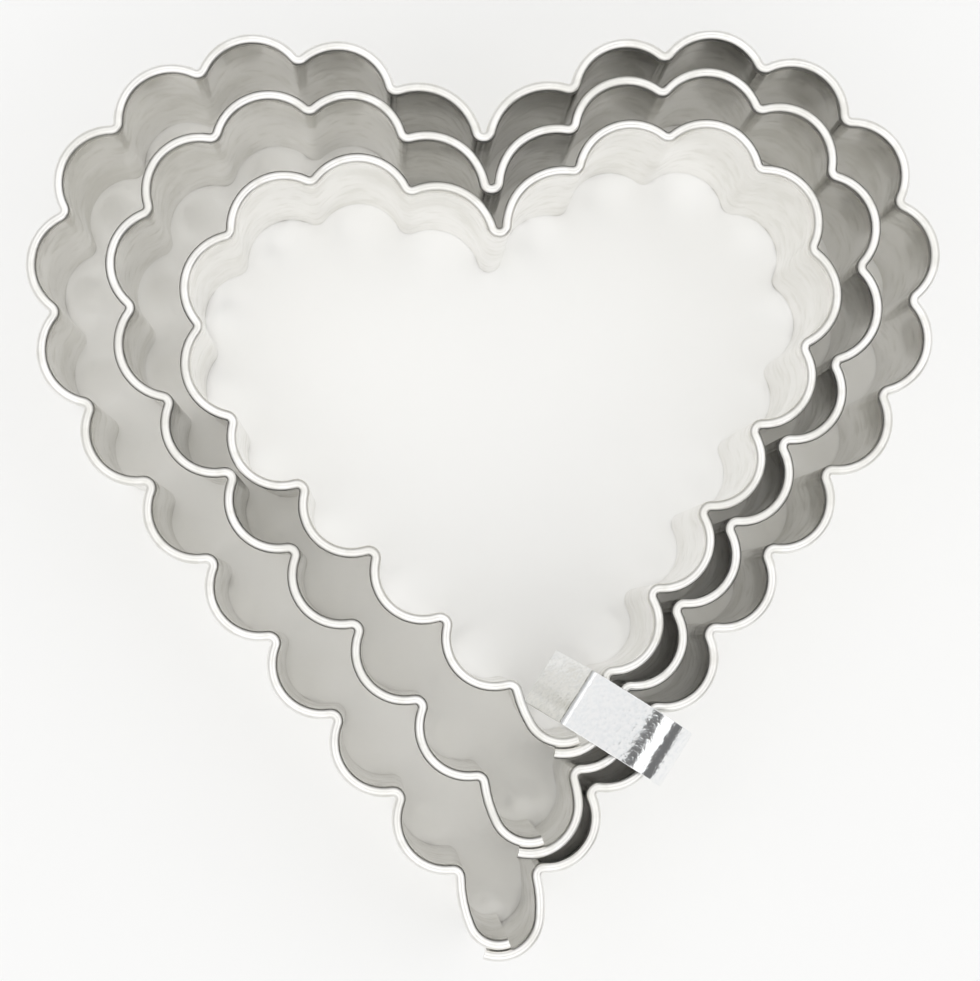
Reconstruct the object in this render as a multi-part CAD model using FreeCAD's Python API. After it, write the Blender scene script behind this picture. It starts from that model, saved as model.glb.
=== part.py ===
import FreeCAD
import Part
import math
import os
from collections import namedtuple

# A nested set of three scalloped heart cutters of thin tinplate, held by a bent clip.
# Each cutter is one strip with a hemmed rim, lapped and soldered at the heart's tip.
# Frame: millimetres, +Z up, cutting edges on z = 0, heart tips towards -Y,
# origin under the middle of the large cutter's box.

# Tinplate strip
SHEET = 0.3
WALL_HEIGHT = 25.0
HEM_WIDTH = 1.0
HEM_HEIGHT = 1.2

# Scallops, which all three cutters share, with a narrow flat land in each valley
LARGE_PITCH = 9.6
MEDIUM_PITCH = 9.55
SMALL_PITCH = 9.45
SCALLOP_DEPTH = 2.75
NOTCH_SCALLOP_DEPTH = 2.4
VALLEY_LAND = 0.7
LARGE_NOTCH_DROP = 4.85
MEDIUM_NOTCH_DROP = 5.65
SMALL_NOTCH_DROP = 5.3

# Round tips, where the strip's ends overlap, below a neck with slightly bowed sides
LARGE_NECK = 6.4
MEDIUM_NECK = 7.8
SMALL_NECK = 7.8
TIP_BULGE = 0.45
LARGE_TIP_DEPTH = 8.0
MEDIUM_TIP_DEPTH = 7.4
SMALL_TIP_DEPTH = 7.0
NECK_RADIUS = 12.0
LAP_LENGTH = 2.6
LAP_CLEARANCE = 0.1
SOLDER_INSET = 0.3
SOLDER_FOOT = 1.0

# Nesting: each inner cutter lies against the next one's right side, valley in valley
NEST_CLEARANCE = 0.2
MEDIUM_NEST_STEP = 3.3
SMALL_NEST_STEP = 2.65
MEDIUM_TURN_DEG = 2.4
SMALL_TURN_DEG = 6.4
LARGE_ANCHOR = 11
MEDIUM_ANCHOR = 10
SMALL_ANCHOR = 9

# Clip of bent strip over the three rims
CLIP_SHEET = 0.4
CLIP_WIDTH = 6.0
CLIP_SHIFT = 1.4
CLIP_CLEARANCE = 0.25
CLIP_SEAT_GAP = 0.1
CLIP_OVERHANG = 1.6
CLIP_FOLD_RADIUS = 0.5
CLIP_BEND_RADIUS = 4.2
CLIP_INNER_LEG = 8.5
CLIP_OUTER_LEG = 8.0
CLIP_RISE_DEG = 8.0
CLIP_LEAN_DEG = 25.0

CONVERGED = 0.002
MOST_STEPS = 80
UP = FreeCAD.Vector(0, 0, 1)

# side_scallops counts one side without the tip; lobe_share is the lobe centre's distance
# from the axis over the lobe radius; first_deg is where the first valley lies on the lobe.
Heart = namedtuple("Heart", "side_scallops lobe_share side_deg first_deg pitch notch_drop neck tip_depth")
Arc = namedtuple("Arc", "centre radius")
Join = namedtuple("Join", "point normal")
Outline = namedtuple("Outline", "arcs joins lap_deg")

LARGE = Heart(13, 0.928, 52.2, 59.2, LARGE_PITCH, LARGE_NOTCH_DROP, LARGE_NECK, LARGE_TIP_DEPTH)
MEDIUM = Heart(11, 1.064, 53.4, 55.2, MEDIUM_PITCH, MEDIUM_NOTCH_DROP, MEDIUM_NECK, MEDIUM_TIP_DEPTH)
SMALL = Heart(9, 1.131, 50.4, 58.2, SMALL_PITCH, SMALL_NOTCH_DROP, SMALL_NECK, SMALL_TIP_DEPTH)


def direction(degrees):
    """Unit vector in the floor plane."""
    turn = math.radians(degrees)
    return FreeCAD.Vector(math.cos(turn), math.sin(turn), 0)


def heading(point, centre):
    """Angle of a point round a centre, in degrees."""
    return math.degrees(math.atan2(point.y - centre.y, point.x - centre.x))


def mirrored(vector):
    """The vector's image across the heart's axis."""
    return FreeCAD.Vector(-vector.x, vector.y, vector.z)


def crossing(first, second, beside):
    """Where two circles cross, on the same side of their centres' line as a point."""
    across = second.centre - first.centre
    run = (across.Length ** 2 + first.radius ** 2 - second.radius ** 2) / (2 * across.Length)
    way = across / across.Length
    left = UP.cross(way)
    rise = math.sqrt(max(first.radius ** 2 - run ** 2, 0))
    return first.centre + way * run + left * math.copysign(rise, left.dot(beside - first.centre))


def lobe_radius(heart):
    """Lobe radius that lets one side hold its whole number of scallops."""
    side = math.radians(heart.side_deg)
    lobe_turn = math.radians(270 - heart.side_deg - heart.first_deg)
    run = (heart.side_scallops - 1) * heart.pitch + heart.neck / 2 / math.cos(side)
    return run / (lobe_turn + (heart.lobe_share + math.sin(side)) / math.cos(side))


def left_valleys(heart):
    """Valleys of the left side, from the notch's neighbour down to the neck."""
    radius = lobe_radius(heart)
    centre = FreeCAD.Vector(-heart.lobe_share * radius, 0, 0)
    lobe_end_deg = 270 - heart.side_deg
    lobe_run = radius * math.radians(lobe_end_deg - heart.first_deg)
    valleys = []
    for step in range(heart.side_scallops):
        run = step * heart.pitch
        normal = direction(heart.first_deg + math.degrees(min(run, lobe_run) / radius))
        down_side = direction(-heart.side_deg) * max(run - lobe_run, 0)
        valleys.append(Join(centre + normal * radius + down_side, normal))
    return valleys


def onward(join):
    """Direction in which a clockwise walk crosses a valley's land."""
    return join.normal.cross(UP)


def land_end(join, way):
    """The far end of a join's land, or the near end with way -1; the join itself without a land."""
    if join.normal is None:
        return join.point
    return join.point + onward(join) * (VALLEY_LAND / 2 * way)


def scallop_between(first, second, depth):
    """Scallop arc from one join to the next."""
    start, end = land_end(first, 1), land_end(second, -1)
    chord = end - start
    radius = (chord.Length ** 2 / 4 + depth ** 2) / (2 * depth)
    inward = chord.cross(UP).normalize()
    return Arc((start + end) / 2 + inward * (radius - depth), radius)


def neck_arc(neck, tip):
    """Bowed side of the neck, which runs smoothly into the tip's arc."""
    centre = crossing(Arc(neck, NECK_RADIUS), Arc(tip.centre, NECK_RADIUS - tip.radius), FreeCAD.Vector())
    return Arc(centre, NECK_RADIUS)


def neck_join(neck, tip):
    """Where a neck's side touches the tip's arc."""
    return Join(tip.centre + (tip.centre - neck.centre).normalize() * tip.radius, None)


def heart_outline(heart):
    """Mid-sheet outline, clockwise from the tip's inner end to its outer end."""
    *side, neck = left_valleys(heart)
    left_neck, right_neck = neck.point, mirrored(neck.point)
    notch = FreeCAD.Vector(0, side[0].point.y - heart.notch_drop, 0)
    valleys = [Join(left_neck, None)] + side[::-1] + [Join(notch, direction(90))]
    valleys += [Join(mirrored(valley.point), mirrored(valley.normal)) for valley in side]
    valleys += [Join(right_neck, None)]
    plain = [SCALLOP_DEPTH] * (heart.side_scallops - 1)
    depths = plain + [NOTCH_SCALLOP_DEPTH] * 2 + plain
    scallops = [scallop_between(*ends) for ends in zip(valleys, valleys[1:], depths)]

    lap_step = HEM_WIDTH + LAP_CLEARANCE
    tip_radius = heart.neck / 2 + TIP_BULGE
    tip = FreeCAD.Vector(0, neck.point.y - heart.tip_depth + tip_radius, 0)
    inner, outer = Arc(tip, tip_radius - lap_step), Arc(tip, tip_radius)
    left, right = neck_arc(left_neck, inner), neck_arc(right_neck, outer)
    joins = [neck_join(left, inner)] + valleys + [neck_join(right, outer)]
    half_lap_deg = math.degrees(LAP_LENGTH / 2 / tip_radius)
    arcs = [inner, left] + scallops + [right, outer]
    return Outline(arcs, joins, [half_lap_deg - 90, -90 - half_lap_deg])


def moved(outline, turn_deg, shift):
    """The outline turned about the origin and shifted."""
    turn = FreeCAD.Rotation(UP, turn_deg)
    arcs = [Arc(turn.multVec(arc.centre) + shift, arc.radius) for arc in outline.arcs]
    joins = [
        Join(turn.multVec(join.point) + shift, join.normal and turn.multVec(join.normal))
        for join in outline.joins
    ]
    return Outline(arcs, joins, [angle + turn_deg for angle in outline.lap_deg])


def widened(arc, offset):
    """The arc moved outward by an offset."""
    return Arc(arc.centre, arc.radius + offset)


def on_arc(arc, angle_deg):
    """Point on an arc."""
    return arc.centre + direction(angle_deg) * arc.radius


def arc_edge(arc, start, end):
    """Clockwise stretch of an arc."""
    start_deg = heading(start, arc.centre)
    sweep = (start_deg - heading(end, arc.centre)) % 360
    return Part.Arc(start, on_arc(arc, start_deg - sweep / 2), end).toShape()


def arc_on_land(arc, join, offset, way):
    """Where an arc meets a join's offset land, ahead of the arc's centre or behind it."""
    rise = (join.point + join.normal * offset - arc.centre).dot(join.normal)
    half = math.sqrt(max(arc.radius ** 2 - rise ** 2, 0))
    return arc.centre + join.normal * rise + onward(join) * (half * way)


def corners(first, second, join, offset):
    """Ends of the land between two offset arcs; one point twice where the land has closed up."""
    if join.normal is not None:
        start = arc_on_land(first, join, offset, 1)
        end = arc_on_land(second, join, offset, -1)
        if (end - start).dot(onward(join)) > CONVERGED:
            return [start, end]
    return [crossing(first, second, join.point)] * 2


def offset_wire(outline, offset):
    """The outline moved outward by an offset, as one open wire on the floor."""
    arcs = [widened(arc, offset) for arc in outline.arcs]
    points = [on_arc(arcs[0], outline.lap_deg[0])]
    for first, second, join in zip(arcs, arcs[1:], outline.joins):
        points += corners(first, second, join, offset)
    points.append(on_arc(arcs[-1], outline.lap_deg[1]))
    edges = []
    for number, arc in enumerate(arcs):
        start, end, after = (points + points[-1:])[2 * number:2 * number + 3]
        edges.append(arc_edge(arc, start, end))
        if (after - end).Length > CONVERGED:
            edges.append(Part.LineSegment(end, after).toShape())
    return Part.Wire(edges)


def inner_face():
    """Offset of the strip's inner face from the middle of the sheet."""
    return -SHEET / 2


def rim_face():
    """Offset of the hem's outer face from the middle of the sheet."""
    return HEM_WIDTH - SHEET / 2


def nested(inner, outer, anchors, step, side_deg):
    """The inner outline set against the outer one's right side, with room between the rims."""
    push = direction(side_deg - 90)
    wall = offset_wire(outer, inner_face())
    own, other = anchors
    seat = outer.joins[len(outer.joins) // 2 + other].point
    line_up = seat - inner.joins[len(inner.joins) // 2 + own].point
    for _ in range(MOST_STEPS):
        trial = moved(inner, 0, line_up - push * step)
        lack = NEST_CLEARANCE - wall.distToShape(offset_wire(trial, rim_face()))[0]
        if lack < CONVERGED:
            return trial
        step += lack
    raise RuntimeError("a cutter found no seat inside the next one")


def lifted(shape, height):
    """A copy of a shape at a height."""
    copy = shape.copy()
    copy.translate(UP * height)
    return copy


def ring_face(outline, inside, outside, height):
    """Flat face between two offsets of the outline."""
    inner = offset_wire(outline, inside)
    outer = offset_wire(outline, outside)
    caps = [(inner.Vertexes[end].Point, outer.Vertexes[end].Point) for end in (0, -1)]
    edges = inner.Edges + outer.Edges + [Part.LineSegment(*cap).toShape() for cap in caps]
    return lifted(Part.Face(Part.Wire(Part.__sortEdges__(edges))), height)


def wall_face(outline, offset, bottom, top):
    """Upright face along an offset of the outline."""
    return lifted(offset_wire(outline, offset), bottom).extrude(UP * (top - bottom))


def end_face(arc, angle_deg):
    """The strip's section, which closes one of its ends."""
    hem_foot = WALL_HEIGHT - HEM_HEIGHT
    section = [
        (inner_face(), 0),
        (SHEET / 2, 0),
        (SHEET / 2, hem_foot),
        (rim_face(), hem_foot),
        (rim_face(), WALL_HEIGHT),
        (inner_face(), WALL_HEIGHT),
    ]
    away = direction(angle_deg)
    points = [arc.centre + away * (arc.radius + out) + UP * height for out, height in section]
    return Part.Face(Part.makePolygon(points + points[:1]))


def band(outline):
    """One strip with its hem, bent along the outline, as a closed solid."""
    hem_foot = WALL_HEIGHT - HEM_HEIGHT
    inside, outside, rim = inner_face(), SHEET / 2, rim_face()
    faces = [
        ring_face(outline, inside, outside, 0),
        ring_face(outline, outside, rim, hem_foot),
        ring_face(outline, inside, rim, WALL_HEIGHT),
        end_face(outline.arcs[0], outline.lap_deg[0]),
        end_face(outline.arcs[-1], outline.lap_deg[1]),
    ]
    faces += wall_face(outline, inside, 0, WALL_HEIGHT).Faces
    faces += wall_face(outline, outside, 0, hem_foot).Faces
    faces += wall_face(outline, rim, hem_foot, WALL_HEIGHT).Faces
    shell = Part.makeShell(faces)
    shell.sewShape()
    solid = Part.Solid(shell)
    if solid.Volume < 0:
        solid.reverse()
    return solid


def seam_solder(outline):
    """Solder that fills the gap between the strip's overlapping ends, below the hems."""
    last_deg, first_deg = outline.lap_deg
    inset_deg = math.degrees(SOLDER_INSET / outline.arcs[0].radius)
    angles = [last_deg - inset_deg, first_deg + inset_deg]
    sides = [widened(outline.arcs[0], SHEET / 2), widened(outline.arcs[-1], inner_face())]
    ends = [[on_arc(arc, angle) for angle in angles] for arc in sides]
    edges = [arc_edge(arc, *pair) for arc, pair in zip(sides, ends)]
    edges += [Part.LineSegment(*pair).toShape() for pair in zip(*ends)]
    face = Part.Face(Part.Wire(Part.__sortEdges__(edges)))
    top = WALL_HEIGHT - HEM_HEIGHT - SOLDER_INSET
    return lifted(face, SOLDER_FOOT).extrude(UP * (top - SOLDER_FOOT))


def rounded_edges(points, radii):
    """Straight runs joined by tangent arcs, one radius for each inner point."""
    edges = []
    last = points[0]
    for before, corner, after, radius in zip(points, points[1:], points[2:], radii):
        back = (before - corner).normalize()
        ahead = (after - corner).normalize()
        half_angle = back.getAngle(ahead) / 2
        run = radius / math.tan(half_angle)
        middle = corner + (back + ahead).normalize() * (radius / math.sin(half_angle) - radius)
        edges.append(Part.LineSegment(last, corner + back * run).toShape())
        edges.append(Part.Arc(corner + back * run, middle, corner + ahead * run).toShape())
        last = corner + ahead * run
    edges.append(Part.LineSegment(last, points[-1]).toShape())
    return edges


def outer_points(points, thickness):
    """The outside of a strip whose inside bends clockwise through the points."""
    side = FreeCAD.Vector(0, 1, 0)
    runs = [(after - before).normalize() for before, after in zip(points, points[1:])]
    normals = [run.cross(side) for run in runs]
    shifted = [points[0] + normals[0] * thickness]
    for corner, first, second in zip(points[1:], normals, normals[1:]):
        bisector = (first + second).normalize()
        shifted.append(corner + bisector * (thickness / bisector.dot(first)))
    shifted.append(points[-1] + normals[-1] * thickness)
    return shifted


def clip_strip(fold, outer):
    """The bent clip in its own frame, with the inside of its fold at height zero."""
    lean = math.radians(CLIP_LEAN_DEG)
    rise = (outer - fold) * math.tan(math.radians(CLIP_RISE_DEG))
    corner = FreeCAD.Vector(fold, 0, 0)
    leg = FreeCAD.Vector(-math.sin(lean), 0, -math.cos(lean)) * CLIP_INNER_LEG
    shoulder = FreeCAD.Vector(outer, 0, rise)
    inside = [corner + leg, corner, shoulder, FreeCAD.Vector(outer, 0, -CLIP_OUTER_LEG)]
    outside = outer_points(inside, CLIP_SHEET)
    radii = [CLIP_FOLD_RADIUS, CLIP_BEND_RADIUS]
    edges = rounded_edges(inside, radii)
    edges += rounded_edges(outside, [radius + CLIP_SHEET for radius in radii])
    edges += [Part.LineSegment(inside[end], outside[end]).toShape() for end in (0, -1)]
    profile = Part.Face(Part.Wire(Part.__sortEdges__(edges)))
    profile.translate(FreeCAD.Vector(0, -CLIP_WIDTH / 2, 0))
    return profile.extrude(FreeCAD.Vector(0, CLIP_WIDTH, 0))


def clip_frame(small):
    """Placement with X outward across the rims and its origin beside the small tip's centre."""
    turn = FreeCAD.Rotation(UP, SMALL.side_deg - 90 + SMALL_TURN_DEG)
    return FreeCAD.Placement(small.arcs[-1].centre + turn.multVec(FreeCAD.Vector(0, CLIP_SHIFT, 0)), turn)


def under_clip(shape, frame):
    """The stretch of a band that the clip straddles, in the clip's frame."""
    slab = Part.makeBox(2 * LARGE_PITCH, CLIP_WIDTH, WALL_HEIGHT, FreeCAD.Vector(0, -CLIP_WIDTH / 2, 0))
    local = shape.copy()
    local.transformShape(frame.inverse().toMatrix())
    return local.common(slab)


def retaining_clip(small, bands):
    """The clip lowered onto the rims, with its inner leg inside the small cutter's tip."""
    frame = clip_frame(small)
    rims = Part.makeCompound([under_clip(shape, frame) for shape in bands])
    box = rims.BoundBox
    strip = clip_strip(box.XMin - CLIP_CLEARANCE, box.XMax + CLIP_OVERHANG)
    height = WALL_HEIGHT + CLIP_OUTER_LEG + CLIP_INNER_LEG
    for _ in range(MOST_STEPS):
        room = lifted(strip, height).distToShape(rims)[0] - CLIP_SEAT_GAP
        if room < CONVERGED:
            break
        height -= room
    seated = lifted(strip, height)
    seated.transformShape(frame.toMatrix())
    return seated


def main():
    large = heart_outline(LARGE)
    box = offset_wire(large, rim_face()).BoundBox
    large = moved(large, 0, FreeCAD.Vector(0, -box.Center.y, 0))
    medium = moved(heart_outline(MEDIUM), MEDIUM_TURN_DEG, FreeCAD.Vector())
    medium = nested(medium, large, (MEDIUM_ANCHOR, LARGE_ANCHOR), MEDIUM_NEST_STEP, LARGE.side_deg)
    small = moved(heart_outline(SMALL), SMALL_TURN_DEG, FreeCAD.Vector())
    medium_side_deg = MEDIUM.side_deg + MEDIUM_TURN_DEG
    small = nested(small, medium, (SMALL_ANCHOR, MEDIUM_ANCHOR), SMALL_NEST_STEP, medium_side_deg)

    pieces = {}
    for name, outline in (("large", large), ("medium", medium), ("small", small)):
        pieces[name + "_band"] = band(outline)
        pieces[name + "_seam_solder"] = seam_solder(outline)
    bands = [pieces[name + "_band"] for name in ("large", "medium", "small")]
    pieces["retaining_clip"] = retaining_clip(small, bands)

    os.makedirs("parts", exist_ok=True)
    for name, shape in pieces.items():
        shape.exportStep("parts/" + name + ".step")


if __name__ == "__main__":
    main()
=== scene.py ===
import math
from collections import namedtuple

import bmesh
import bpy
from mathutils import Matrix, Vector


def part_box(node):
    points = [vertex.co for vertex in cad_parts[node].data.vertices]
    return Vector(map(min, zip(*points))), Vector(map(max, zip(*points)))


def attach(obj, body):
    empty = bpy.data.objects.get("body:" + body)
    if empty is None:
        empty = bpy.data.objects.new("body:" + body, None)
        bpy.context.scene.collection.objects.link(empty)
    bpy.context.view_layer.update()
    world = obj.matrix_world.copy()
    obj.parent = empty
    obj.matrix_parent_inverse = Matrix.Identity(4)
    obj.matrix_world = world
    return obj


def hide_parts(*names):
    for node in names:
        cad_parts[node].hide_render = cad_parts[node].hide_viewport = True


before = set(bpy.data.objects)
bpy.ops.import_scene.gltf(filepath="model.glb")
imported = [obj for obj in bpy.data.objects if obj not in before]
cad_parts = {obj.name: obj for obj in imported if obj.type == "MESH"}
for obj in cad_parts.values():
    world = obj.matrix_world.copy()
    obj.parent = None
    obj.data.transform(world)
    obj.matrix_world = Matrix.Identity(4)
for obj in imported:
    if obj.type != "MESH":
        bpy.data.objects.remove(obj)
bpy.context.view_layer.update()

bl_info = {
    "name": "Nested heart cutters",
    "version": (1, 0, 0),
    "blender": (4, 5, 0),
    "location": "3D View > Sidebar > Cutters",
    "description": "Builds a nested set of scalloped tinplate heart cutters and their clip",
    "category": "Object",
}

MM = 0.001
UP = Vector((0, 0, 1))

# side_scallops counts one side without the tip; lobe_share is the lobe centre's distance
# from the axis over the lobe radius; first_deg is where the first valley lies on the lobe.
Heart = namedtuple(
    "Heart", "side_scallops lobe_share side_deg first_deg pitch notch_drop neck tip_depth turn_deg"
)
HEARTS = {
    "large": Heart(13, 0.928, 52.2, 59.2, 9.6 * MM, 4.85 * MM, 6.4 * MM, 8.0 * MM, 0.0),
    "medium": Heart(11, 1.064, 53.4, 55.2, 9.55 * MM, 5.65 * MM, 7.8 * MM, 7.4 * MM, 2.4),
    "small": Heart(9, 1.131, 50.4, 58.2, 9.45 * MM, 5.3 * MM, 7.8 * MM, 7.0 * MM, 6.4),
}
Circle = namedtuple("Circle", "centre radius")
Bend = namedtuple("Bend", "centre turn_deg")

BEAD_STEPS = 20
JOIN_REACH = 0.002 * MM
SCALLOP_FACET_DEG = 6.0
VALLEY_FACET_DEG = 10.0
CLIP_FACET_DEG = 5.0
EDGE_SEGMENTS = 2
SHARP_DEG = 18.0

# scale counts features in a metre; a patch grows from the noise value start to the value full.
Patches = namedtuple("Patches", "scale detail start full")
SMUDGES = Patches(110, 4, 0.45, 0.7)
FINGER_MARKS = Patches(520, 5, 0.5, 0.72)
# Patches of painted shadow along the cutting edge, where the walls meet the floor.
FOOT_SHADE_PATCHES = Patches(300, 3, 0.52, 0.66)
SPANGLES = Patches(2200, 2, 0.42, 0.66)
DENTS = Patches(170, 1, 0, 1)
DENT_STRETCH = (1, 1, 0.35)
GRAIN = Patches(2200, 3, 0.3, 0.7)

Bump = namedtuple("Bump", "strength distance")
DENT_BUMP = Bump(0.25, 0.3 * MM)
GRAIN_BUMP = Bump(0.4, 0.1 * MM)
SPANGLE_BUMP = Bump(0.28, 0.03 * MM)

TIN_SMUDGE_DULLNESS = 0.1
CLIP_SMUDGE_DULLNESS = 0.04
SPANGLE_ROUGHNESS = (0.08, 0.17)
SOLDER_ROUGHNESS = (0.35, 0.55)
SOLDER_SHADE = 0.75
# Height, in sheets, of the band of painted shadow at the cutting edge.
FOOT_SHADE_SHEETS = 3

FLOOR_REACH = 20.0
FLOOR_LEVEL = -0.02 * MM
FLOOR_ROUGHNESS = 0.9
FLOOR_GLOSS = 0.1

# Each place in the light tent has a direction, and the cosines of the angles from it where
# its light changes. The arm is dark where both of its sides are.
TENT_SIDE = Vector((0.0963, -0.1233, 0.9877))
TENT_COSINES = (0.1, 0.42, 0.85)
ARM_SIDES = (Vector((0.3235, 0.0810, 0.9428)), Vector((0.0553, -0.3289, 0.9428)))
ARM_COSINES = (0.9219, 0.9323)
CAMERA_SIDE = Vector((-0.1424, 0.0932, 0.9854))
CAMERA_COSINES = (0.962, 0.978)
FLAP_SIDE = Vector((0.812, -0.5313, 0.2419))
FLAP_COSINES = (0.94, 0.955)
SENSOR_MM = 36.0
NEAREST_VIEW = 0.01


def length(name, description, millimetres):
    """A length that a user may change."""
    return bpy.props.FloatProperty(
        name=name, description=description, default=millimetres * MM, unit="LENGTH", precision=5
    )


def angle(name, description, degrees):
    """An angle that a user may change."""
    return bpy.props.FloatProperty(
        name=name, description=description, default=math.radians(degrees), unit="ROTATION"
    )


def colour(name, description, rgb):
    """A colour that a user may change."""
    return bpy.props.FloatVectorProperty(
        name=name, description=description, default=rgb, size=3, subtype="COLOR", min=0, max=1
    )


def share(name, description, value):
    """A share or a strength that a user may change."""
    return bpy.props.FloatProperty(
        name=name, description=description, default=value, min=0, subtype="FACTOR", soft_max=2
    )


class StripSizes(bpy.types.PropertyGroup):
    """Sizes of the tinplate strip that each cutter is bent from"""

    sheet: length("Sheet", "Thickness of the tinplate", 0.3)
    wall_height: length("Wall height", "Height from the cutting edge to the rim", 25.0)
    bead: length("Bead", "Diameter of the rolled rim", 1.0)
    scallop_depth: length("Scallop depth", "How far a scallop stands out past its valleys", 2.75)
    notch_depth: length("Notch scallop depth", "Depth of the scallops beside the notch", 2.1)
    valley_radius: length("Valley radius", "Bend of the middle of the sheet in a valley", 1.1)
    neck_radius: length("Neck radius", "Bend of the sides above the tip", 12.0)
    tip_bulge: length("Tip bulge", "How far the tip is wider than its neck, each side", 0.45)
    lap: length("Lap", "How far the strip's ends overlap at the tip", 2.6)
    lap_clearance: length("Lap clearance", "Room between the beads of the lapped ends", 0.1)


class ClipSizes(bpy.types.PropertyGroup):
    """Sizes of the bent clip"""

    sheet: length("Sheet", "Thickness of the clip", 0.4)
    width: length("Width", "Width of the strip", 6.0)
    inner_leg: length("Inner leg", "Length of the leg inside the small cutter", 8.5)
    outer_leg: length("Outer leg", "Drop of the leg outside the large cutter", 8.0)
    fold_radius: length("Fold radius", "Inside bend over the small rim", 0.5)
    bend_radius: length("Bend radius", "Inside bend over the large rim", 4.2)
    rise: angle("Rise", "Slope of the top, up from the fold", 8.0)
    lean: angle("Lean", "Lean of the inner leg into the small cutter", 25.0)
    edge: length("Edge", "Rounding of the sheared edges", 0.06)


class Finishes(bpy.types.PropertyGroup):
    """Colours and gloss of the metals"""

    tin: colour("Tin", "Clean tinplate", (0.9, 0.89, 0.865))
    tin_smudge: colour("Smudged tin", "Tinplate where it was handled", (0.8, 0.79, 0.75))
    # Painted shadow: the dark colour painted in patches at the foot of the walls.
    painted_foot_shade: colour("Painted foot shade", "Colour of the shadow painted along the cutting edge", (0.42, 0.4, 0.37))
    tin_gloss: share("Tin roughness", "Roughness of clean tinplate", 0.14)
    rim_dullness: share("Rim dullness", "Roughness that wear adds along the rim", 0.2)
    solder: colour("Solder", "Dull tin solder", (0.6, 0.6, 0.58))
    spangle_pale: colour("Pale spangle", "Bright crystals of the clip's zinc", (0.93, 0.935, 0.935))
    spangle_dark: colour("Dark spangle", "Dull crystals of the clip's zinc", (0.87, 0.885, 0.895))


class Studio(bpy.types.PropertyGroup):
    """Floor, light and camera"""

    floor: colour("Floor", "Pale table top", (0.9, 0.9, 0.895))
    glow: share("Glow", "Strength of the light from the tent's top", 1.45)
    sides: share("Sides", "Light from the tent's sides, as a share of the glow", 0.58)
    skirt: share("Skirt", "Light near the floor, as a share of the glow", 0.35)
    shade: share("Shade", "Light from the tent's dark places, as a share of the glow", 0.12)
    camera_shade: share("Camera shade", "Light from round the camera, as a share of the glow", 0.62)
    lens: bpy.props.FloatProperty(
        name="Lens", description="Focal length on a 36 mm sensor", default=98.54, unit="CAMERA"
    )
    camera_place: bpy.props.FloatVectorProperty(
        name="Camera", description="Where the camera stands", size=3, unit="LENGTH",
        default=(-11.15 * MM, -14.3 * MM, 284.1 * MM),
    )
    camera_turn: bpy.props.FloatVectorProperty(
        name="Camera turn", description="How the camera is turned", size=3, subtype="EULER",
        default=(math.radians(3.225), math.radians(-2.3915), math.radians(-1.0665)),
    )


def direction(degrees):
    """Unit vector in the floor plane."""
    turn = math.radians(degrees)
    return Vector((math.cos(turn), math.sin(turn), 0))


def heading(point, centre):
    """Angle of a point round a centre, in degrees."""
    return math.degrees(math.atan2(point.y - centre.y, point.x - centre.x))


def mirrored(point):
    """A point's image across the heart's axis."""
    return Vector((-point.x, point.y, point.z))


def widened(circle, offset):
    """A circle made larger."""
    return Circle(circle.centre, circle.radius + offset)


def crossing(first, second, beside):
    """Where two circles cross, on the same side of their centres' line as a point."""
    across = second.centre - first.centre
    reach = across.length
    run = (reach ** 2 + first.radius ** 2 - second.radius ** 2) / (2 * reach)
    way = across.normalized()
    left = UP.cross(way)
    rise = math.sqrt(max(first.radius ** 2 - run ** 2, 0))
    return first.centre + way * run + left * math.copysign(rise, left.dot(beside - first.centre))


def left_hollows(heart, radius):
    """Rounded valleys of the left side, from the notch's neighbour down to the neck."""
    side = math.radians(heart.side_deg)
    lobe_end_deg = 270 - heart.side_deg
    lobe_turn = math.radians(lobe_end_deg - heart.first_deg)
    run = (heart.side_scallops - 1) * heart.pitch + heart.neck / 2 / math.cos(side)
    lobe_radius = run / (lobe_turn + (heart.lobe_share + math.sin(side)) / math.cos(side))
    centre = Vector((-heart.lobe_share * lobe_radius, 0, 0))
    hollows = []
    for step in range(heart.side_scallops):
        run = step * heart.pitch
        on_lobe = min(run, lobe_radius * lobe_turn)
        outward = direction(heart.first_deg + math.degrees(on_lobe / lobe_radius))
        down_side = direction(-heart.side_deg) * (run - on_lobe)
        hollows.append(Circle(centre + outward * (lobe_radius + radius) + down_side, radius))
    return hollows


def scallop(first, second, depth):
    """Circle of a scallop that touches two rounded valleys and stands out by its depth."""
    chord = second.centre - first.centre
    drop = (chord.length ** 2 / 4 - depth ** 2) / (2 * depth)
    inward = chord.cross(UP).normalized()
    return Circle((first.centre + second.centre) / 2 + inward * drop, depth + drop - first.radius)


def neck_side(neck, tip, radius):
    """Bowed side of the neck, which runs smoothly into the tip's circle."""
    centre = crossing(Circle(neck, radius), Circle(tip.centre, radius - tip.radius), Vector())
    return Circle(centre, radius)


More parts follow.
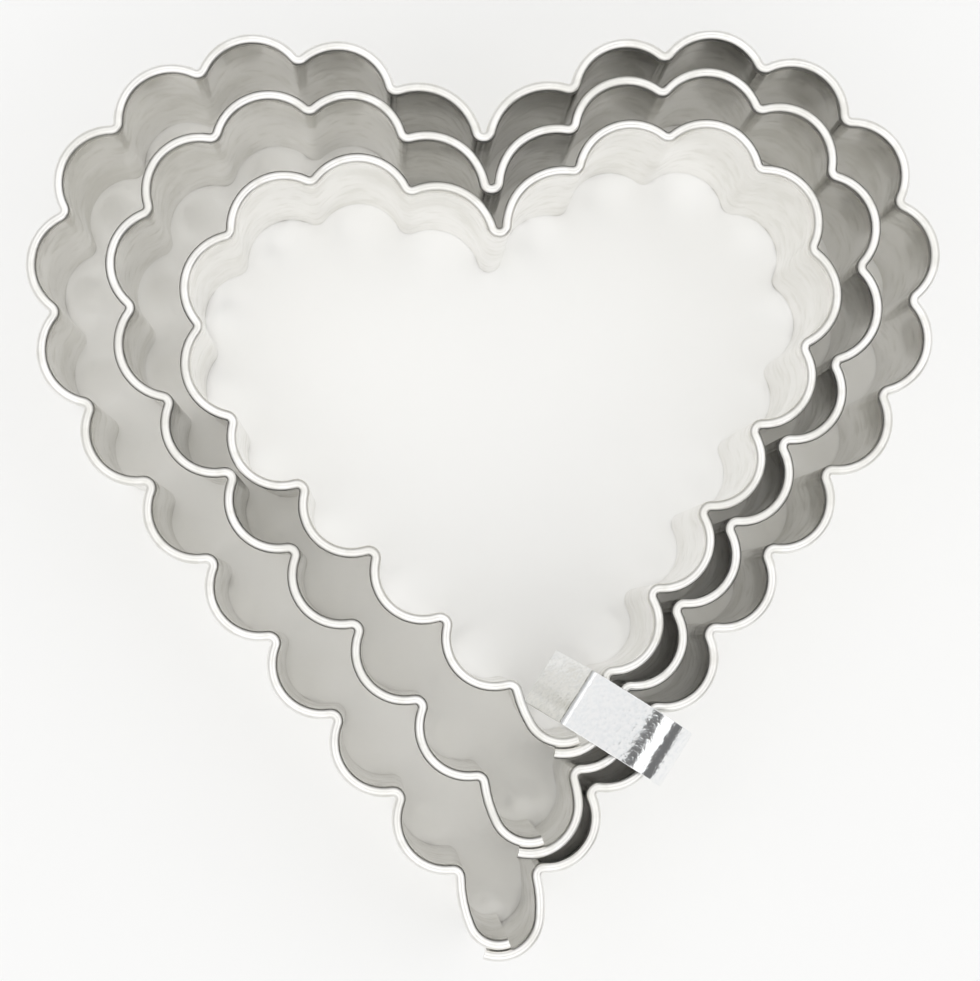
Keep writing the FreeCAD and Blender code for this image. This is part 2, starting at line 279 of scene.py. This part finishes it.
def heart_circles(heart, strip):
    """Circles along the strip, clockwise from its inner end, and the valleys between them."""
    radius = strip.valley_radius
    *side, last = left_hollows(heart, radius)
    neck = last.centre - direction(270 - heart.side_deg) * radius
    notch_foot = side[0].centre.y - direction(heart.first_deg).y * radius - heart.notch_drop
    notch = Circle(Vector((0, notch_foot + radius, 0)), radius)
    left = [last] + side[::-1]
    hollows = left + [notch] + [Circle(mirrored(hollow.centre), radius) for hollow in left[::-1]]
    plain = [strip.scallop_depth] * (heart.side_scallops - 1)
    depths = plain + [strip.notch_depth] * 2 + plain
    scallops = [scallop(*ends) for ends in zip(hollows, hollows[1:], depths)]
    tip_radius = heart.neck / 2 + strip.tip_bulge
    tip_centre = Vector((0, neck.y - heart.tip_depth + tip_radius, 0))
    outer = Circle(tip_centre, tip_radius)
    inner = widened(outer, -(strip.bead + strip.lap_clearance))
    left_neck = neck_side(neck, inner, strip.neck_radius)
    right_neck = neck_side(mirrored(neck), outer, strip.neck_radius)
    sides = ((left_neck, scallops[0], hollows[0]), (right_neck, scallops[-1], hollows[-1]))
    ends = [
        crossing(widened(bow, radius), widened(arc, radius), hollow.centre)
        for bow, arc, hollow in sides
    ]
    middles = [ends[0]] + [hollow.centre for hollow in hollows[1:-1]] + [ends[1]]
    return [inner, left_neck] + scallops + [right_neck, outer], middles


def touch(circle, toward):
    """Point of a circle that lies toward another point."""
    return circle.centre + (toward - circle.centre).normalized() * circle.radius


def clockwise(circle, start, end):
    """Bend that follows a circle clockwise from one point to another."""
    turn_deg = (heading(start, circle.centre) - heading(end, circle.centre)) % 360
    return Bend(circle.centre, -turn_deg)


def strip_bends(heart, strip):
    """Where the strip starts on its first circle, and the bends that follow."""
    circles, hollows = heart_circles(heart, strip)
    inner, left = circles[:2]
    right, outer = circles[-2:]
    half_lap_deg = math.degrees(strip.lap / 2 / outer.radius)
    begin = inner.centre + direction(half_lap_deg - 90) * inner.radius
    meet = inner.centre + (inner.centre - left.centre).normalized() * inner.radius
    bends = [clockwise(inner, begin, meet)]
    here = meet
    for first, second, hollow in zip(circles[1:], circles[2:-1], hollows):
        leave, enter = touch(first, hollow), touch(second, hollow)
        turn_deg = (heading(enter, hollow) - heading(leave, hollow)) % 360
        bends += [clockwise(first, here, leave), Bend(hollow, turn_deg)]
        here = enter
    meet = outer.centre + (outer.centre - right.centre).normalized() * outer.radius
    end = outer.centre + direction(-90 - half_lap_deg) * outer.radius
    bends += [clockwise(right, here, meet), clockwise(outer, meet, end)]
    facing = Matrix.Rotation(math.radians(half_lap_deg - 90), 4, "Z")
    return Matrix.Translation(begin) @ facing, bends


def strip_section(strip):
    """The strip's section in the XZ plane, with x outward from the middle of the sheet."""
    half, radius = strip.sheet / 2, strip.bead / 2
    level = strip.wall_height - radius
    middle = Vector((radius - half, 0, level))
    bm = bmesh.new()
    foot = bm.verts.new((-half, 0, 0))
    rolled = extended(bm, foot, Vector((0, 0, level)))
    round_turn = math.tau - math.acos((middle.x - half) / radius)
    spun = bmesh.ops.spin(
        bm, geom=[rolled], cent=middle, axis=(0, 1, 0), angle=round_turn, steps=BEAD_STEPS
    )
    under = spun["geom_last"][0]
    edge = extended(bm, under, Vector((0, 0, -under.co.z)))
    bm.edges.new((edge, foot))
    return bm


def extended(bm, vert, step):
    """A vertex drawn out by a step."""
    end = bmesh.ops.extrude_vert_indiv(bm, verts=[vert])["verts"][0]
    end.co = vert.co + step
    return end


def drawn(bm, section, step):
    """A section drawn out straight."""
    edges = [part for part in section if isinstance(part, bmesh.types.BMEdge)]
    made = bmesh.ops.extrude_edge_only(bm, edges=edges)["geom"]
    verts = [part for part in made if isinstance(part, bmesh.types.BMVert)]
    bmesh.ops.translate(bm, verts=verts, vec=step)
    ends = set(verts)
    edges = [
        part for part in made
        if isinstance(part, bmesh.types.BMEdge) and ends.issuperset(part.verts)
    ]
    return verts + edges


def bent(bm, section, centre, axis, turn_deg, facet_deg):
    """A section drawn out round an axis."""
    steps = math.ceil(abs(turn_deg) / facet_deg)
    spun = bmesh.ops.spin(
        bm, geom=section, cent=centre, axis=axis, angle=math.radians(turn_deg), steps=steps
    )
    return spun["geom_last"]


def closed(bm, section):
    """A face over the end of a strip."""
    edges = [part for part in section if isinstance(part, bmesh.types.BMEdge)]
    bmesh.ops.contextual_create(bm, geom=edges)


def mesh_object(bm, name, material):
    """A piece made from a finished bmesh, smooth except across sharp edges."""
    bmesh.ops.recalc_face_normals(bm, faces=bm.faces)
    mesh = bpy.data.meshes.new(name)
    bm.to_mesh(mesh)
    bm.free()
    mesh.shade_smooth()
    mesh.set_sharp_from_angle(angle=math.radians(SHARP_DEG))
    mesh.materials.append(material)
    piece = bpy.data.objects.new(name, mesh)
    bpy.context.scene.collection.objects.link(piece)
    return piece


def bent_strip(section, place, bends):
    """A strip whose section follows the bends one after another."""
    strip = bmesh.new()
    scratch = bpy.data.meshes.new("bend")
    for bend in bends:
        part = section.copy()
        bmesh.ops.transform(part, matrix=place, verts=part.verts)
        facet_deg = SCALLOP_FACET_DEG if bend.turn_deg < 0 else VALLEY_FACET_DEG
        bent(part, part.verts[:] + part.edges[:], bend.centre, UP, bend.turn_deg, facet_deg)
        part.to_mesh(scratch)
        part.free()
        strip.from_mesh(scratch)
        there = Matrix.Translation(bend.centre)
        swing = Matrix.Rotation(math.radians(bend.turn_deg), 4, "Z")
        place = there @ swing @ there.inverted() @ place
    bpy.data.meshes.remove(scratch)
    bmesh.ops.remove_doubles(strip, verts=strip.verts, dist=JOIN_REACH)
    bmesh.ops.holes_fill(strip, edges=[edge for edge in strip.edges if edge.is_boundary])
    return strip


def band_piece(name, material):
    """One cutter's strip, bent and set where its solid stands."""
    sizes, heart = bpy.context.scene.cutter_strip, HEARTS[name]
    section = strip_section(sizes)
    strip = bent_strip(section, *strip_bends(heart, sizes))
    section.free()
    turn = Matrix.Rotation(math.radians(heart.turn_deg), 3, "Z")
    bmesh.ops.rotate(strip, cent=(0, 0, 0), matrix=turn, verts=strip.verts)
    low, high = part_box(name + "_band")
    own_x = [vert.co.x for vert in strip.verts]
    own_tip = min(vert.co.y for vert in strip.verts)
    shift = Vector(((low.x + high.x - min(own_x) - max(own_x)) / 2, low.y - own_tip, low.z))
    bmesh.ops.translate(strip, verts=strip.verts, vec=shift)
    return mesh_object(strip, name + "_cutter_strip", material)


def turned_box(node, turn):
    """Corners of a solid's box once it is turned."""
    spots = [turn @ vert.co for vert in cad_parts[node].data.vertices]
    low = Vector([min(spot[axis] for spot in spots) for axis in range(3)])
    high = Vector([max(spot[axis] for spot in spots) for axis in range(3)])
    return low, high


def clip_runs(clip, low, high):
    """Start and way of the clip's inner leg, then each straight run with its bend."""
    fold = low.x + clip.inner_leg * math.sin(clip.lean) + clip.sheet * math.cos(clip.lean)
    top = (high.x - clip.sheet - fold) / math.cos(clip.rise)
    drop = top * math.sin(clip.rise) + clip.outer_leg
    fold_turn = math.pi / 2 - clip.lean - clip.rise
    bend_turn = math.pi / 2 + clip.rise
    fold_run = clip.fold_radius * math.tan(fold_turn / 2)
    bend_run = clip.bend_radius * math.tan(bend_turn / 2)
    runs = [
        (clip.inner_leg - fold_run, clip.fold_radius, fold_turn),
        (top - fold_run - bend_run, clip.bend_radius, bend_turn),
        (drop - bend_run, 0, 0),
    ]
    way = Vector((math.sin(clip.lean), 0, math.cos(clip.lean)))
    start = Vector((fold, 0, low.z + clip.outer_leg)) - way * clip.inner_leg
    return start, way, runs


def clip_end(bm, clip, start, way):
    """The sheared end of the clip's inner leg."""
    outward = Vector((-way.z, 0, way.x)) * clip.sheet
    half = Vector((0, clip.width / 2, 0))
    corners = (half, outward + half, outward - half, -half)
    verts = [bm.verts.new(start + corner) for corner in corners]
    section = verts + [bm.edges.new(pair) for pair in zip(verts, verts[1:] + verts[:1])]
    closed(bm, section)
    return section


def clip_piece(material):
    """The clip, bent from a strip and set where its solid stands."""
    clip, small = bpy.context.scene.cutter_clip, HEARTS["small"]
    turn = Matrix.Rotation(math.radians(small.side_deg - 90 + small.turn_deg), 4, "Z")
    low, high = turned_box("retaining_clip", turn.inverted())
    here, way, runs = clip_runs(clip, low, high)
    bm = bmesh.new()
    section = clip_end(bm, clip, here, way)
    for run, radius, bend in runs:
        section = drawn(bm, section, way * run)
        here = here + way * run
        if bend:
            centre = here + Vector((way.z, 0, -way.x)) * radius
            section = bent(bm, section, centre, (0, 1, 0), math.degrees(bend), CLIP_FACET_DEG)
            swing = Matrix.Rotation(bend, 3, "Y")
            here = centre + swing @ (here - centre)
            way = swing @ way
    closed(bm, section)
    bm.normal_update()
    sharp = [edge for edge in bm.edges if edge.calc_face_angle(0) > math.radians(SHARP_DEG)]
    bmesh.ops.bevel(
        bm, geom=sharp, offset=clip.edge, offset_type="OFFSET", segments=EDGE_SEGMENTS,
        profile=0.5, affect="EDGES", material=-1,
    )
    over = max(vert.co.z for vert in bm.verts) - high.z
    bmesh.ops.translate(bm, verts=bm.verts, vec=(0, (low.y + high.y) / 2, -over))
    bmesh.ops.transform(bm, matrix=turn, verts=bm.verts)
    return mesh_object(bm, "clip_strip", material)


def new_material(name, metallic):
    """A metal and its shader."""
    material = bpy.data.materials.new(name)
    material.use_nodes = True
    shader = material.node_tree.nodes["Principled BSDF"]
    shader.inputs["Metallic"].default_value = metallic
    return material, shader


def add_node(tree, kind, **values):
    """A node with its values set."""
    node = tree.nodes.new(kind)
    for name, value in values.items():
        node.inputs[name.replace("_", " ")].default_value = value
    return node


def noise(tree, place, look, stretch=(1, 1, 1)):
    """A noise on the piece's own coordinates, with its features stretched."""
    mapping = add_node(tree, "ShaderNodeMapping", Scale=stretch)
    tree.links.new(place, mapping.inputs["Vector"])
    made = add_node(tree, "ShaderNodeTexNoise", Scale=look.scale, Detail=look.detail)
    tree.links.new(mapping.outputs["Vector"], made.inputs["Vector"])
    return made.outputs["Fac"]


def ranged(tree, value, start, end, low, high):
    """A value moved from one range to another and held inside it."""
    made = add_node(
        tree, "ShaderNodeMapRange", From_Min=start, From_Max=end, To_Min=low, To_Max=high
    )
    tree.links.new(value, made.inputs["Value"])
    return made.outputs["Result"]


def patches(tree, place, look):
    """A mask that is one where a patch is full."""
    return ranged(tree, noise(tree, place, look), look.start, look.full, 0, 1)


def combined(tree, operation, first, second):
    """Two values put together by a sum or a product, held between zero and one."""
    made = tree.nodes.new("ShaderNodeMath")
    made.operation = operation
    made.use_clamp = True
    tree.links.new(first, made.inputs[0])
    tree.links.new(second, made.inputs[1])
    return made.outputs["Value"]


def mixed(tree, mask, first, second):
    """Two colours mixed by a mask; each is a plain colour or another node's output."""
    made = tree.nodes.new("ShaderNodeMix")
    made.data_type = "RGBA"
    tree.links.new(mask, made.inputs["Factor"])
    for name, part in (("A", first), ("B", second)):
        if isinstance(part, bpy.types.NodeSocket):
            tree.links.new(part, made.inputs[name])
        else:
            made.inputs[name].default_value = (*part, 1)
    return made.outputs["Result"]


def handling_marks_and_shade():
    """Node group: smudges, patches of painted shade for the cutting edge and the sheet's slight
    unevenness, made once.
    """
    tree = bpy.data.node_groups.get("Handling marks and painted shade")
    if tree:
        return tree
    tree = bpy.data.node_groups.new("Handling marks and painted shade", "ShaderNodeTree")
    for name in ("Smudge", "Foot shade", "Height"):
        tree.interface.new_socket(name, in_out="OUTPUT", socket_type="NodeSocketFloat")
    place = tree.nodes.new("ShaderNodeTexCoord").outputs["Object"]
    end = tree.nodes.new("NodeGroupOutput")
    broad, fine = patches(tree, place, SMUDGES), patches(tree, place, FINGER_MARKS)
    tree.links.new(combined(tree, "ADD", broad, fine), end.inputs["Smudge"])
    tree.links.new(patches(tree, place, FOOT_SHADE_PATCHES), end.inputs["Foot shade"])
    tree.links.new(noise(tree, place, DENTS, DENT_STRETCH), end.inputs["Height"])
    return tree


def marks_in(tree):
    """The handling marks and the patches of painted shade placed in a material."""
    node = tree.nodes.new("ShaderNodeGroup")
    node.node_tree = handling_marks_and_shade()
    return node.outputs


def bumped(tree, height, shader, size):
    """A bump on a shader's normal."""
    bump = add_node(tree, "ShaderNodeBump", Strength=size.strength, Distance=size.distance)
    tree.links.new(height, bump.inputs["Height"])
    tree.links.new(bump.outputs["Normal"], shader.inputs["Normal"])


def tinplate():
    """Bright tinplate, faintly smudged, dulled along the rim, with shadow painted in patches along
    the cutting edge where it meets the floor.
    """
    finish, strip = bpy.context.scene.cutter_finish, bpy.context.scene.cutter_strip
    material, shader = new_material("Tinplate", 1.0)
    tree = material.node_tree
    marks = marks_in(tree)
    parts = tree.nodes.new("ShaderNodeSeparateXYZ")
    tree.links.new(tree.nodes.new("ShaderNodeTexCoord").outputs["Object"], parts.inputs["Vector"])
    height = parts.outputs["Z"]
    rim_foot = strip.wall_height - strip.bead
    rim = ranged(tree, height, rim_foot - strip.sheet, rim_foot, 0, finish.rim_dullness)
    # Painted shadow: the foot of the wall is darkened in patches where it meets the floor.
    foot = ranged(tree, height, strip.sheet, FOOT_SHADE_SHEETS * strip.sheet, 1, 0)
    clean = mixed(tree, marks["Smudge"], finish.tin, finish.tin_smudge)
    foot_shade_mask = combined(tree, "MULTIPLY", foot, marks["Foot shade"])
    tree.links.new(mixed(tree, foot_shade_mask, clean, finish.painted_foot_shade), shader.inputs["Base Color"])
    dull = finish.tin_gloss + TIN_SMUDGE_DULLNESS
    gloss = ranged(tree, marks["Smudge"], 0, 1, finish.tin_gloss, dull)
    tree.links.new(combined(tree, "ADD", gloss, rim), shader.inputs["Roughness"])
    bumped(tree, marks["Height"], shader, DENT_BUMP)
    return material


def solder():
    """Dull tin solder with a grainy skin."""
    finish = bpy.context.scene.cutter_finish
    material, shader = new_material("Solder", 1.0)
    tree = material.node_tree
    place = tree.nodes.new("ShaderNodeTexCoord").outputs["Object"]
    grain = noise(tree, place, GRAIN)
    dull = [part * SOLDER_SHADE for part in finish.solder]
    tree.links.new(mixed(tree, grain, finish.solder, dull), shader.inputs["Base Color"])
    gloss = ranged(tree, grain, GRAIN.start, GRAIN.full, *SOLDER_ROUGHNESS)
    tree.links.new(gloss, shader.inputs["Roughness"])
    bumped(tree, grain, shader, GRAIN_BUMP)
    return material


def spangled_sheet():
    """Zinc-coated sheet, bright between dull spangles and faintly smudged."""
    finish = bpy.context.scene.cutter_finish
    material, shader = new_material("Spangled sheet", 1.0)
    tree = material.node_tree
    place = tree.nodes.new("ShaderNodeTexCoord").outputs["Object"]
    spangle = patches(tree, place, SPANGLES)
    colour_mix = mixed(tree, spangle, finish.spangle_pale, finish.spangle_dark)
    tree.links.new(colour_mix, shader.inputs["Base Color"])
    gloss = ranged(tree, spangle, 0, 1, *SPANGLE_ROUGHNESS)
    smudge = ranged(tree, marks_in(tree)["Smudge"], 0, 1, 0, CLIP_SMUDGE_DULLNESS)
    tree.links.new(combined(tree, "ADD", gloss, smudge), shader.inputs["Roughness"])
    bumped(tree, spangle, shader, SPANGLE_BUMP)
    return material


def finished(name, make):
    """A finish by name, made the first time that a piece asks for it."""
    return bpy.data.materials.get(name) or make()


class CUTTERS_OT_bands(bpy.types.Operator):
    """Bend the three cutters from scalloped strip"""

    bl_idname = "cutters.bands"
    bl_label = "Cutter bands"

    def execute(self, context):
        material = finished("Tinplate", tinplate)
        for name in HEARTS:
            piece = band_piece(name, material)
            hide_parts(name + "_band")
            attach(piece, name + "_cutter")
        return {"FINISHED"}


class CUTTERS_OT_seams(bpy.types.Operator):
    """Give the solder in the three lap seams its finish"""

    bl_idname = "cutters.seams"
    bl_label = "Lap seams"

    def execute(self, context):
        material = finished("Solder", solder)
        for name in HEARTS:
            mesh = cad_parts[name + "_seam_solder"].data
            mesh.materials.clear()
            mesh.materials.append(material)
        return {"FINISHED"}


class CUTTERS_OT_clip(bpy.types.Operator):
    """Bend the clip over the three rims"""

    bl_idname = "cutters.clip"
    bl_label = "Clip"

    def execute(self, context):
        piece = clip_piece(finished("Spangled sheet", spangled_sheet))
        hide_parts("retaining_clip")
        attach(piece, "clip")
        return {"FINISHED"}


class CUTTERS_OT_stage(bpy.types.Operator):
    """Set the floor, the light and the camera"""

    bl_idname = "cutters.stage"
    bl_label = "Stage"

    def execute(self, context):
        studio = context.scene.cutter_studio
        context.scene.view_settings.view_transform = "Standard"
        lay_floor(studio)
        hang_sky(studio)
        stand_camera(studio)
        # Softened reflections would darken the deep gaps between the walls.
        context.scene.cycles.blur_glossy = 0
        return {"FINISHED"}


def lay_floor(studio):
    """Pale table top under the cutting edges."""
    bm = bmesh.new()
    bmesh.ops.create_grid(bm, x_segments=1, y_segments=1, size=FLOOR_REACH)
    bmesh.ops.translate(bm, verts=bm.verts, vec=UP * FLOOR_LEVEL)
    material, shader = new_material("Table top", 0.0)
    shader.inputs["Roughness"].default_value = FLOOR_ROUGHNESS
    shader.inputs["Specular IOR Level"].default_value = FLOOR_GLOSS
    shader.inputs["Base Color"].default_value = (*studio.floor, 1)
    mesh_object(bm, "table_top", material)


def hang_sky(studio):
    """A light tent, dim near the floor and round the camera, dark at its arm and open flap."""
    world = bpy.data.worlds.new("Light tent")
    world.use_nodes = True
    bpy.context.scene.world = world
    tree = world.node_tree
    place = tree.nodes.new("ShaderNodeTexCoord").outputs["Generated"]
    light = sky_ramp(tree, place, TENT_SIDE, TENT_COSINES, (studio.skirt, studio.sides, 1.0))
    dark = (1.0, studio.shade)
    halves = [sky_ramp(tree, place, side, ARM_COSINES, dark) for side in ARM_SIDES]
    arm = blended(tree, "LIGHTEN", *halves)
    flap = sky_ramp(tree, place, FLAP_SIDE, FLAP_COSINES, dark)
    camera = sky_ramp(tree, place, CAMERA_SIDE, CAMERA_COSINES, (1.0, studio.camera_shade))
    for dim in (arm, flap, camera):
        light = blended(tree, "DARKEN", light, dim)
    background = tree.nodes["Background"]
    background.inputs["Strength"].default_value = studio.glow
    tree.links.new(light, background.inputs["Color"])


def sky_ramp(tree, place, toward, cosines, greys):
    """Greys of the sky by the cosine of the angle from a direction."""
    aim = tree.nodes.new("ShaderNodeVectorMath")
    aim.operation = "DOT_PRODUCT"
    aim.inputs[1].default_value = toward
    tree.links.new(place, aim.inputs[0])
    ramp = tree.nodes.new("ShaderNodeValToRGB")
    stops = ramp.color_ramp.elements
    for cosine in cosines[len(stops):]:
        stops.new(cosine)
    for stop, cosine, grey in zip(stops, cosines, greys):
        stop.position = cosine
        stop.color = (grey, grey, grey, 1)
    tree.links.new(aim.outputs["Value"], ramp.inputs["Fac"])
    return ramp.outputs["Color"]


def blended(tree, blend, first, second):
    """The darker or the lighter of two colours."""
    made = tree.nodes.new("ShaderNodeMix")
    made.data_type = "RGBA"
    made.blend_type = blend
    made.inputs["Factor"].default_value = 1
    tree.links.new(first, made.inputs["A"])
    tree.links.new(second, made.inputs["B"])
    return made.outputs["Result"]


def stand_camera(studio):
    """The camera above the set, almost straight over it."""
    lens = bpy.data.cameras.new("camera")
    lens.sensor_fit = "HORIZONTAL"
    lens.sensor_width = SENSOR_MM
    lens.lens = studio.lens
    lens.clip_start = NEAREST_VIEW
    camera = bpy.data.objects.new("camera", lens)
    camera.location = studio.camera_place
    camera.rotation_euler = studio.camera_turn
    bpy.context.scene.collection.objects.link(camera)
    bpy.context.scene.camera = camera


class CUTTERS_PT_panel(bpy.types.Panel):
    """Sizes, finishes and steps of the cutter set"""

    bl_idname = "CUTTERS_PT_panel"
    bl_label = "Nested heart cutters"
    bl_space_type = "VIEW_3D"
    bl_region_type = "UI"
    bl_category = "Cutters"

    def draw(self, context):
        for name in GROUPS:
            group = getattr(context.scene, name)
            box = self.layout.box()
            for prop in group.bl_rna.properties:
                if not prop.is_readonly and prop.identifier != "name":
                    box.prop(group, prop.identifier)
        for step in STEPS:
            self.layout.operator(step.bl_idname)


GROUPS = {
    "cutter_strip": StripSizes,
    "cutter_clip": ClipSizes,
    "cutter_finish": Finishes,
    "cutter_studio": Studio,
}
STEPS = (CUTTERS_OT_bands, CUTTERS_OT_seams, CUTTERS_OT_clip, CUTTERS_OT_stage)
CLASSES = (*GROUPS.values(), *STEPS, CUTTERS_PT_panel)


def register():
    for item in CLASSES:
        bpy.utils.register_class(item)
    for name, group in GROUPS.items():
        setattr(bpy.types.Scene, name, bpy.props.PointerProperty(type=group))


def unregister():
    for name in GROUPS:
        delattr(bpy.types.Scene, name)
    for item in reversed(CLASSES):
        bpy.utils.unregister_class(item)


def main():
    register()
    bpy.ops.cutters.bands()
    bpy.ops.cutters.seams()
    bpy.ops.cutters.clip()
    bpy.ops.cutters.stage()


if __name__ == "__main__":
    main()
